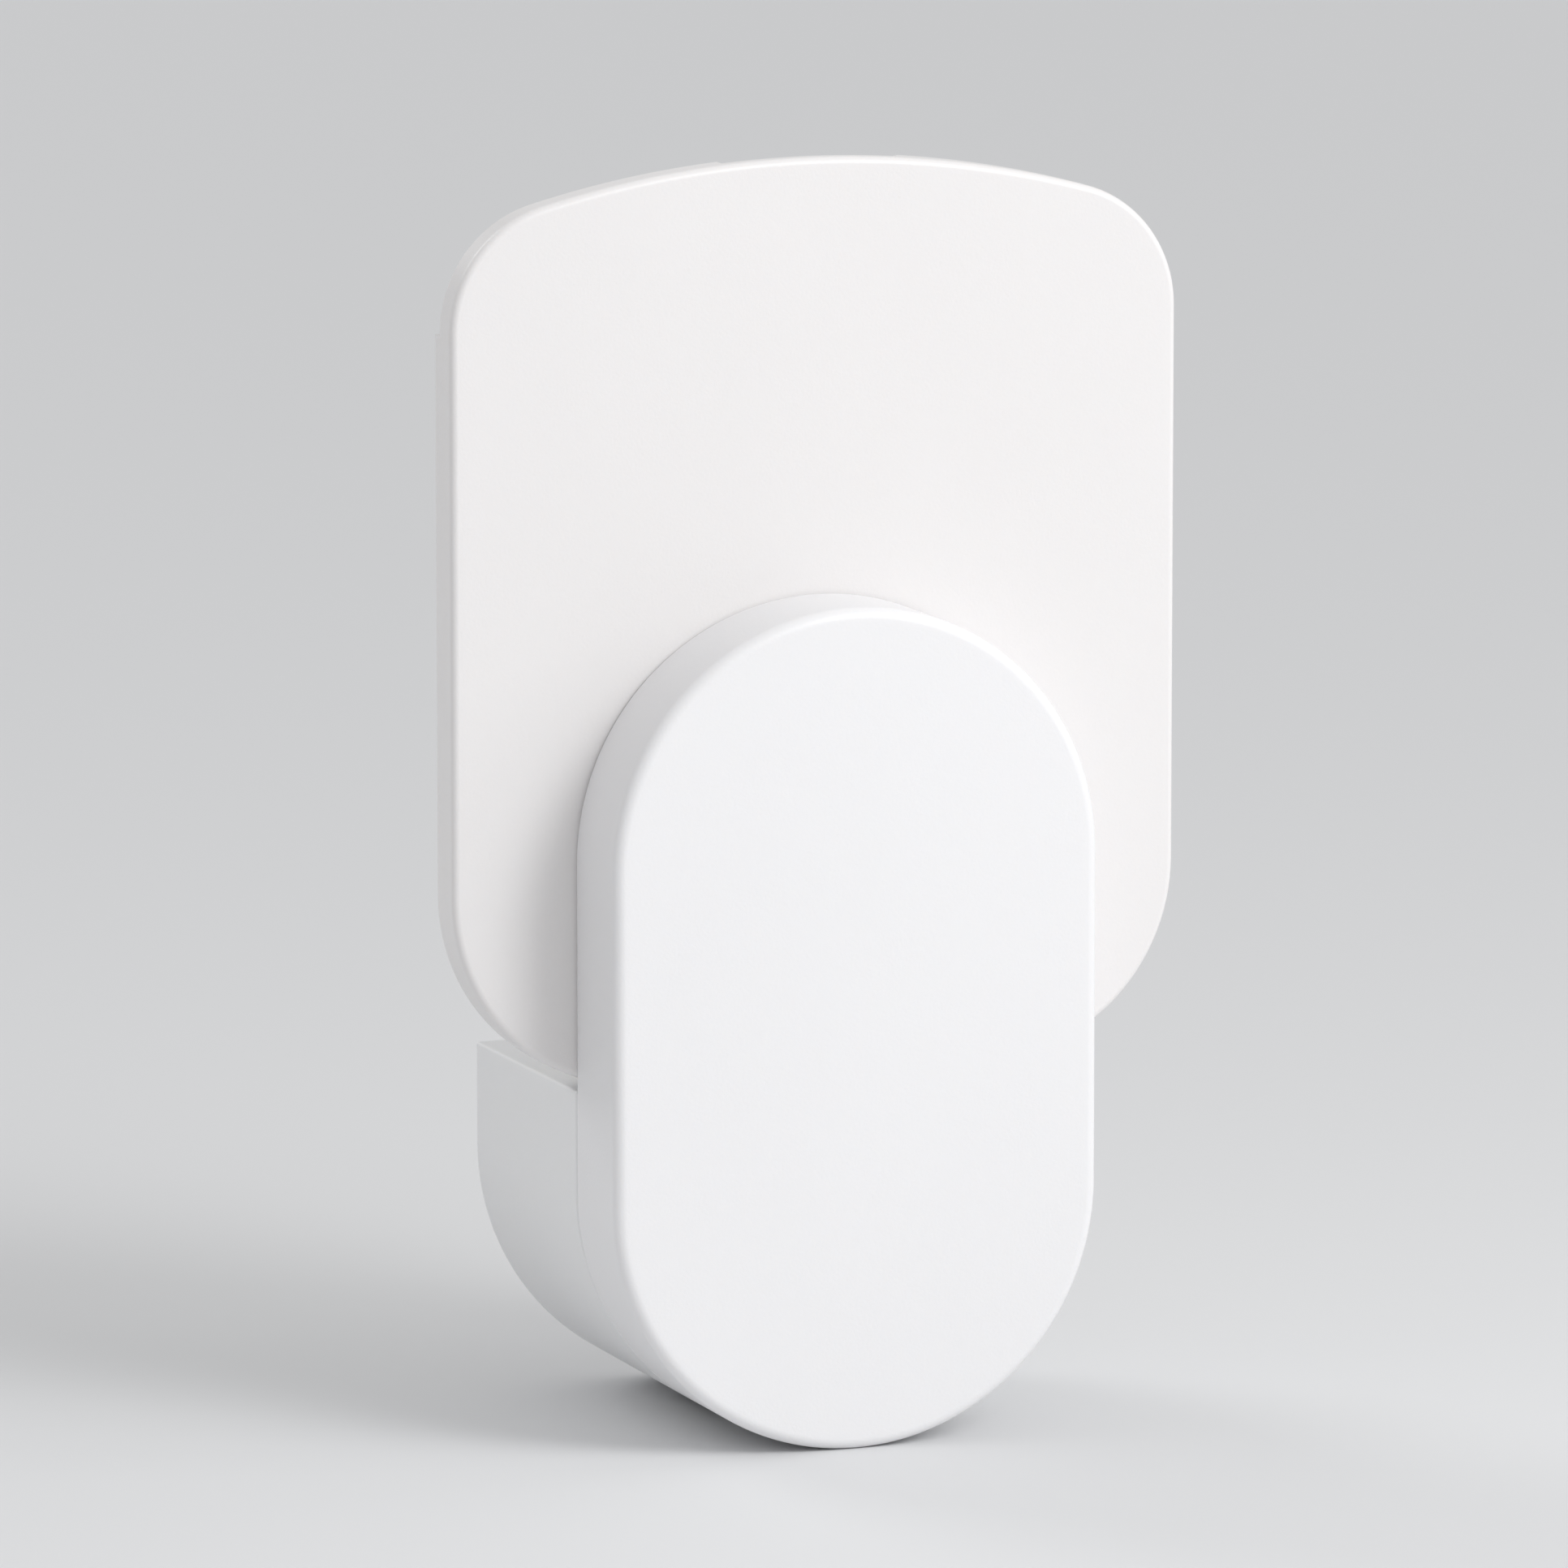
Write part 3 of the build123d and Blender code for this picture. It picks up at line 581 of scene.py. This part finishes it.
# ---- the pieces ------------------------------------------------------------------------
def make_front_cover():
    """The pill-shaped shell, with four screw posts inside. Its face is very slightly crowned."""
    rim = COVER_FRONT + COVER_CROWN
    inside = COVER_FRONT + SHELL_WALL
    reach = PILL_R - COVER_EDGE
    profile = []
    for share in (0.06, 0.2, 0.36, 0.52, 0.66, 0.78, 0.88, 0.95, 0.985):
        profile.append((PILL_R - share * reach, COVER_FRONT + COVER_CROWN * share ** 2))
    profile += rounding(COVER_EDGE, rim + COVER_EDGE, COVER_EDGE, 10)
    side = COVER_BACK - SEAM_CHAMFER - (rim + COVER_EDGE)
    profile += [(0, rim + COVER_EDGE + side * share) for share in (0.05, 0.5, 0.95, 1.0)]
    profile += [(SEAM_CHAMFER, COVER_BACK), (SHELL_WALL, COVER_BACK)]
    profile += rounding(SHELL_WALL + SHELL_INNER_R, inside + SHELL_INNER_R, SHELL_INNER_R, 4, 90, 0)
    bm = bmesh.new()
    shell(bm, pill_ring, profile)
    obj = new_object("front_cover_shell", bm, moulded("cover_white_plastic", (0.862, 0.858, 0.868), 0.40))
    for x, z in SCREW_SPOTS:
        combine(obj, "UNION", lambda b: rod(b, x, z, POST_R, inside - 0.5 * MM, COVER_BACK - 0.02 * MM))
        combine(obj, "DIFFERENCE", lambda b: rod(b, x, z, SCREW_R, SCREW_HOLE_END, COVER_BACK + PAST))
    weigh_normals(obj)
    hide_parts("front_cover")
    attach(obj, "base")


def make_card_holder():
    """The tall plate: a skin with a rim behind it, three ribs, two card rails and a thumb notch."""
    profile = [(HOLDER_EDGE + 0.9 * MM, HOLDER_FRONT)]
    profile += rounding(HOLDER_EDGE, HOLDER_FRONT + HOLDER_EDGE, HOLDER_EDGE, 8)
    profile += [(0, HOLDER_FRONT + HOLDER_EDGE + 0.3 * MM), (0, RIM_BACK - SEAM_CHAMFER - 0.3 * MM)]
    profile += [(0, RIM_BACK - SEAM_CHAMFER), (SEAM_CHAMFER, RIM_BACK), (RIM_WALL, RIM_BACK)]
    profile += rounding(RIM_WALL + RIM_INNER_R, SKIN_BACK + RIM_INNER_R, RIM_INNER_R, 4, 90, 0)
    profile.append((RIM_WALL + RIM_INNER_R + 0.8 * MM, SKIN_BACK))
    bm = bmesh.new()
    shell(bm, holder_ring, profile)
    # Its colour is darker than the cover's: painted shade for a plate that stands further back. Its warmer
    # hue is the plastic's own.
    obj = new_object("card_holder_plate", bm, moulded("holder_white_plastic_painted_shade", (0.832, 0.815, 0.812), 0.37))

    root, crest = SKIN_BACK - 0.5 * MM, SKIN_BACK + RIB_DEPTH
    rib = [(root, RIB_LOW), (crest - 0.6 * MM, RIB_LOW), (crest, RIB_LOW + 1.5 * MM),
           (crest, RIB_HIGH - 1.5 * MM), (crest - 0.6 * MM, RIB_HIGH), (root, RIB_HIGH)]
    for x in RIB_SPOTS:
        combine(obj, "UNION", lambda b: prism_x(b, rib, x - RIB_HALF, x + RIB_HALF))

    reach, top = HOLDER_HALF + PAST, HOLDER_HIGH + PAST
    upper = [(-reach, RIM_LOWERED), (reach, RIM_LOWERED), (reach, top), (-reach, top)]
    combine(obj, "DIFFERENCE", lambda b: prism_y(b, upper, crest, RIM_BACK + PAST))

    wall = HOLDER_HALF - RIM_WALL
    near, far = RIM_BACK - 0.04 * MM, RIM_BACK - RAIL_DEPTH
    rail = [(near, RAIL_LOW), (near, RAIL_HIGH), (far + 0.4 * MM, RAIL_HIGH),
            (far, RAIL_HIGH - 2 * MM), (far, RAIL_LOW + 1 * MM), (far + 0.3 * MM, RAIL_LOW)]
    for side in (-1, 1):
        ends = sorted((side * (wall - RAIL_REACH), side * (wall + 0.5 * MM)))
        combine(obj, "UNION", lambda b: prism_x(b, rail, *ends))

    notch_z = HOLDER_HIGH + THUMB_RISE
    combine(obj, "DIFFERENCE", lambda b: rod(b, 0, notch_z, THUMB_R, SKIN_BACK, RIM_BACK + PAST, 96))
    weigh_normals(obj)
    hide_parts("card_holder")
    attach(obj, "holder")


def make_glue_film():
    """The glue on the card: a thin film with a rounded border and a rolled-on ripple."""
    card_side, room_side = GLUE_MIN.y, GLUE_MAX.y
    columns = 48
    half = holder_half(GLUE_INSET)[1:-1]
    low_z, high_z = half[0][1], half[-1][1]
    while half[1][1] - low_z < 0.001 * MM:
        half.pop(0)

    def surface(x, z, half_x):
        """Where the glue's face is; it thins towards its border."""
        inward = max(0.0, min(half_x - abs(x), z - low_z, high_z - z) / GLUE_BORDER)
        edge = math.sin(min(1.0, inward + 0.12) * math.pi / 2)
        ripple = noise.noise(Vector((x / (7 * MM), 0.0, z / (16 * MM)))) * 0.10
        ripple += noise.noise(Vector((x / (2.4 * MM), 5.0, z / (3.5 * MM)))) * 0.05
        return card_side + (room_side - card_side) * min(1.0, edge * (0.86 + ripple))

    def border(rows):
        """The outermost vertices of a grid, once round."""
        middle = rows[1:-1]
        return rows[0] + [row[-1] for row in middle] + rows[-1][::-1] + [row[0] for row in middle[::-1]]

    bm = bmesh.new()
    card, film = [], []
    for half_x, z in half:
        row = [half_x * (2 * i / columns - 1) for i in range(columns + 1)]
        card.append([bm.verts.new((x, card_side, z)) for x in row])
        film.append([bm.verts.new((x, surface(x, z, half_x), z)) for x in row])
    for rows in (card, film):
        for a, b in zip(rows, rows[1:]):
            for i in range(columns):
                bm.faces.new((a[i], a[i + 1], b[i + 1], b[i]))
    bridge(bm, border(card), border(film))
    obj = new_object("glue_film", bm, tacky_glue("tacky_glue"), 60)
    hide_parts("adhesive_layer")
    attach(obj, "card")


def led_sites(node):
    """Centre and facing of each lamp of one row: (x, z, y of the board's face, direction out)."""
    low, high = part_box(node)
    z = (low.z + high.z) / 2
    faces = ((LAMP_BOARD_MIN.y, -1), (LAMP_BOARD_MAX.y, 1))
    return [(x, z, face, out) for x in (-LED_X, LED_X) for face, out in faces]


def make_leds(node, name, tint, package, die):
    """Surface-mount lamps: a white package with a round cup, a chip in it and a clear dome."""
    sites = led_sites(node)
    bm = bmesh.new()
    for x, z, face, out in sites:
        def square(half, up):
            return [(px, face + out * up, pz) for px, pz in rounded_square(x, z, half, 0.25 * MM)]

        def circle(radius, up):
            quarters = [arc(x, z, radius, turn + 1, turn + 89, 8) for turn in (0, 90, 180, 270)]
            return [(px, face + out * up, pz) for quarter in quarters for px, pz in quarter]

        top = LED_HEIGHT
        loft(bm, [square(LED_HALF, 0), square(LED_HALF, top - 0.12 * MM), square(LED_HALF - 0.1 * MM, top),
                  circle(LED_CUP_R, top), circle(LED_CUP_R - 0.06 * MM, top - 0.05 * MM),
                  circle(LED_CUP_R - 0.4 * MM, top - LED_CUP_DEPTH)])
    packages = new_object(name + "_packages", bm, package)
    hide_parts(node)

    bm = bmesh.new()
    for x, z, face, out in sites:
        top = face + out * LED_HEIGHT
        profile = [(1.06 * MM, top - out * 0.42 * MM), (1.40 * MM, top - out * 0.04 * MM)]
        turns = [math.radians(9 * i) for i in range(10)]
        profile += [(LED_DOME_R * math.cos(t), top + out * LED_DOME_R * math.sin(t)) for t in turns]
        profile.append((0.05 * MM, top + out * LED_DOME_R))
        turned(bm, x, z, profile, 36)
    domes = new_object(name + "_domes", bm, clear_epoxy(name + "_epoxy", tint))

    bm = bmesh.new()
    for x, z, face, out in sites:
        chip = rounded_square(x, z, LED_CHIP_HALF, 0.05 * MM, 2)
        prism_y(bm, chip, *sorted((face + out * 0.7 * MM, face + out * 0.84 * MM)))
    chips = new_object(name + "_chips", bm, die)
    for obj in (packages, domes, chips):
        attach(obj, "base")


def make_inductor():
    """A ferrite drum with its copper winding."""
    x, z = 9.0 * MM, 6.5 * MM
    foot, flange, height = BOARD_FRONT, 1.2 * MM, 8.0 * MM
    outer, core, bevel = 3.6 * MM, 2.2 * MM, 0.25 * MM
    front = foot - height
    bm = bmesh.new()
    turned(bm, x, z, [(outer - bevel, foot), (outer, foot - bevel), (outer, foot - flange + bevel),
                      (outer - bevel, foot - flange), (core, foot - flange), (core, front + flange),
                      (outer - bevel, front + flange), (outer, front + flange - bevel),
                      (outer, front + bevel), (outer - bevel, front)], 48)
    ferrite = component("ferrite", (0.055, 0.052, 0.050), 0.55, None, 8e-6)
    drum = new_object("inductor_drum", bm, ferrite)
    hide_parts("inductor")

    wire, coil_r, turns = 0.2 * MM, 3.1 * MM, 13
    pitch = (height - 2 * flange) / turns
    profile = [(core + 0.05 * MM, foot - flange - 0.02 * MM)]
    for turn in range(turns):
        middle = foot - flange - pitch * (turn + 0.5)
        for i in range(5):
            t = math.radians(180 * i / 4)
            profile.append((coil_r - wire + wire * math.sin(t), middle + pitch / 2 * math.cos(t)))
    profile.append((core + 0.05 * MM, front + flange + 0.02 * MM))
    bm = bmesh.new()
    turned(bm, x, z, profile, 48)
    coil = new_object("inductor_winding", bm, winding("enamelled_copper"), 70)
    for obj in (drum, coil):
        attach(obj, "base")


def make_screw_threads():
    """The thread that each housing screw cuts into its post."""
    pitch, steps = 1.1 * MM, 24
    root, crest, half = SCREW_R - 0.05 * MM, SCREW_R + 0.13 * MM, 0.22 * MM
    start, end = COVER_BACK + 6.0 * MM, SCREW_HOLE_END + 0.9 * MM
    count = int((start - end) / pitch * steps)
    bm = bmesh.new()
    for x, z in SCREW_SPOTS:
        sections = []
        for i in range(count + 1):
            t = 2 * math.pi * i / steps
            y = start - pitch * i / steps
            fade = min(1.0, (i + 1) / 12, (count - i + 1) / 12)
            ridge = root + (crest - root) * fade
            section = ((root, y + half), (ridge, y), (root, y - half))
            across, up = math.cos(t), math.sin(t)
            sections.append([bm.verts.new((x + r * across, at, z + r * up)) for r, at in section])
        for a, b in zip(sections, sections[1:]):
            bridge(bm, a, b)
        bm.faces.new(sections[0])
        bm.faces.new(sections[-1])
    obj = new_object("housing_screw_threads", bm, metal("thread_zinc", (0.72, 0.73, 0.74), 0.33))
    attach(obj, "base")


def make_solder_joints():
    """Cones of solder on the board's rear face, one where each leg comes through."""
    cone = ((0.85, 0.01), (0.80, 0.10), (0.52, 0.28), (0.36, 0.62), (0.30, 0.95), (0.16, 1.05))
    profile = [(radius * MM, BOARD_REAR + height * MM) for radius, height in cone]
    bm = bmesh.new()
    for x, z in SOLDER_SPOTS:
        turned(bm, x, z, profile, 24)
    obj = new_object("solder_joints", bm, metal("solder", (0.74, 0.74, 0.74), 0.20), 60)
    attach(obj, "base")


def finish_cad_nodes():
    """Materials for the parts whose shape comes straight from the frame."""
    nodes = frame["nodes"]
    pads = [(x, z, PAD_R) for x, z in SOLDER_SPOTS]
    lamps = [(x, z) for node in ("uv_leds", "blue_leds") for x, z, face, out in led_sites(node) if out > 0]
    led_pads = [(x + dx, z, LED_PAD_R) for x, z in lamps for dx in (-LED_PAD_X, LED_PAD_X)]
    bridge_low, bridge_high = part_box("bridge_rectifier")
    resistor_low, resistor_high, band = 3.6 * MM, 8.6 * MM, 0.45 * MM
    stripes = ((0.7 * MM, (0.22, 0.08, 0.03)), (1.6 * MM, (0.02, 0.02, 0.02)),
               (2.5 * MM, (0.70, 0.16, 0.04)), (3.8 * MM, (0.62, 0.46, 0.12)))
    bands = [(resistor_low + start, resistor_low + start + band, colour) for start, colour in stripes]
    fuse_low, fuse_high, cap, tin = 3.2 * MM, 9.2 * MM, 1.3 * MM, (0.74, 0.74, 0.72)
    caps = [(fuse_low, fuse_low + cap, tin), (fuse_high - cap, fuse_high, tin)]

    def gull_legs(f):
        """The rectifier's four bent legs, above and below its body."""
        z = f.math("ABSOLUTE", f.math("SUBTRACT", f.along("Z"), (bridge_low.z + bridge_high.z) / 2))
        return f.between(z, 2.27 * MM, 2.30 * MM)

    finishes = {
        "rear_housing": moulded("housing_white_plastic", (0.85, 0.852, 0.858), 0.43),
        "slot_plate": moulded("inner_plastic", (0.80, 0.80, 0.80), 0.5),
        "plug_insert": moulded("carrier_plastic", (0.78, 0.785, 0.79), 0.38),
        "light_reflector": moulded("reflector_plastic", (0.90, 0.90, 0.90), 0.22, 0.4 * MM, 1e-6),
        "led_connector": moulded("connector_nylon", (0.80, 0.78, 0.70), 0.45),
        "light_lens": frosted("frosted_lens"),
        "rating_label": label_film("blank_label"),
        "glue_card": paperboard("glue_card_board"),
        "led_board": board_finish("lamp_board", "led_board", (0.82, 0.83, 0.82),
                                  (0.76, 0.77, 0.76), led_pads),
        "driver_board": board_finish("driver_board_mask", "driver_board", (0.012, 0.11, 0.045),
                                     (0.03, 0.22, 0.08), pads),
        "plug_blade_left": metal("blade_nickel_left", (0.66, 0.63, 0.58), 0.18, (1.0, 0.05, 1.0)),
        "plug_blade_right": metal("blade_nickel_right", (0.66, 0.63, 0.58), 0.18, (1.0, 0.05, 1.0)),
        "lead_crimps": metal("crimp_brass", (0.78, 0.60, 0.28), 0.33),
        "housing_screws": metal("screw_zinc", (0.72, 0.73, 0.74), 0.33),
        "board_screws": metal("board_screw_zinc", (0.72, 0.73, 0.74), 0.33),
        "mains_leads": two_leads("mains_lead_insulation", (0.80, 0.80, 0.79), (0.03, 0.03, 0.032)),
        "led_leads": two_leads("lamp_lead_insulation", (0.02, 0.02, 0.022), (0.55, 0.03, 0.02)),
        "film_capacitor": component("capacitor_film", (0.62, 0.42, 0.05), 0.34, near_board(0.5 * MM)),
        "smoothing_capacitor": capacitor_sleeve("capacitor_sleeve"),
        "bridge_rectifier": component("moulded_epoxy", (0.025, 0.025, 0.028), 0.5, gull_legs, 4e-6),
        "varistor": component("varistor_coat", (0.03, 0.12, 0.42), 0.34, near_board(1.85 * MM), 4e-6),
        "resistors": banded("resistor_body", (0.62, 0.52, 0.36), bands, (resistor_low, resistor_high), 0.35),
        "fuse": banded("fuse_body", (0.80, 0.79, 0.74), caps, (fuse_low, fuse_high), 0.3),
    }
    for node, material in finishes.items():
        nodes[node].material_slots[0].material = material


# ---- stage, lights and camera ----------------------------------------------------------
def make_floor(height):
    """A plain pale floor that reaches the horizon."""
    half = 30.0
    corners = ((-half, -half), (half, -half), (half, half), (-half, half))
    bm = bmesh.new()
    bm.faces.new([bm.verts.new((x, y, height)) for x, y in corners])
    f = Finish("floor_grey", (0.73, 0.735, 0.745), 0.75)
    floor = new_object("floor", bm, f.material)


def area_light(name, place, aim, size, power):
    """A round soft box at a place, turned to what it lights."""
    light = bpy.data.lights.new(name, "AREA")
    light.shape = "DISK"
    light.size = size
    light.energy = power
    obj = bpy.data.objects.new(name, light)
    bpy.context.scene.collection.objects.link(obj)
    obj.location = place
    obj.rotation_euler = (Vector(aim) - Vector(place)).to_track_quat("-Z", "Y").to_euler()


def sun_light(name, towards, strength, softness):
    """Parallel light from a direction; softness is the sun's width in degrees."""
    light = bpy.data.lights.new(name, "SUN")
    light.energy = strength
    light.angle = math.radians(softness)
    obj = bpy.data.objects.new(name, light)
    bpy.context.scene.collection.objects.link(obj)
    obj.rotation_euler = Vector(towards).to_track_quat("Z", "Y").to_euler()


def make_camera(azimuth, elevation, distance, frame_height):
    """Looks at the trap's middle; azimuth 0 looks along +Y and elevation is above the horizon."""
    a, e = math.radians(azimuth), math.radians(elevation)
    back = Vector((math.sin(a) * math.cos(e), -math.cos(a) * math.cos(e), math.sin(e)))
    low, high = CAD_BOX
    aim = Vector(((low.x + high.x) / 2, low.y / 2, (low.z + high.z) / 2))
    data = bpy.data.cameras.new("camera")
    data.sensor_width = 36
    data.lens = data.sensor_width * distance / frame_height
    camera = bpy.data.objects.new("camera", data)
    bpy.context.scene.collection.objects.link(camera)
    camera.location = aim + back * distance
    camera.rotation_euler = (-back).to_track_quat("-Z", "Y").to_euler()
    bpy.context.scene.camera = camera


def make_world():
    """A soft white room, brighter overhead than at the horizon."""
    world = bpy.data.worlds.new("studio")
    world.use_nodes = True
    nodes, links = world.node_tree.nodes, world.node_tree.links
    background = nodes["Background"]
    direction = nodes.new("ShaderNodeTexCoord")
    height = nodes.new("ShaderNodeSeparateXYZ")
    ramp = nodes.new("ShaderNodeValToRGB")
    ramp.color_ramp.elements[0].position = 0.0
    ramp.color_ramp.elements[0].color = (0.74, 0.745, 0.755, 1.0)
    ramp.color_ramp.elements[1].position = 0.9
    ramp.color_ramp.elements[1].color = (1.0, 1.0, 1.0, 1.0)
    links.new(direction.outputs["Generated"], height.inputs["Vector"])
    links.new(height.outputs["Z"], ramp.inputs["Fac"])
    links.new(ramp.outputs["Color"], background.inputs["Color"])
    background.inputs["Strength"].default_value = 0.64
    bpy.context.scene.world = world


make_front_cover()
make_card_holder()
make_glue_film()
PACKAGE = moulded("led_package_plastic", (0.88, 0.88, 0.86), 0.4, 0.2 * MM, 1e-6)
CHIP = component("led_chip", (0.42, 0.36, 0.62), 0.34, None)
make_leds("uv_leds", "uv_lamp", (0.78, 0.70, 0.98), PACKAGE, CHIP)
make_leds("blue_leds", "blue_lamp", (0.70, 0.86, 0.98), PACKAGE, CHIP)
make_inductor()
make_screw_threads()
make_solder_joints()
finish_cad_nodes()

bpy.context.scene.view_settings.view_transform = "Standard"
make_floor(CAD_BOX[0][2])
make_world()
make_camera(-20.8, 9.0, 1.29, 0.172)
MIDDLE = (0, -20 * MM, 47 * MM)
area_light("near_key", (0.24, -0.44, 0.38), MIDDLE, 0.34, 1.27)
sun_light("key", (0.42, -0.72, 0.55), 0.40, 18)
sun_light("right", (0.88, -0.42, 0.34), 0.36, 28)
sun_light("behind", (-0.45, 0.80, 0.55), 0.55, 25)
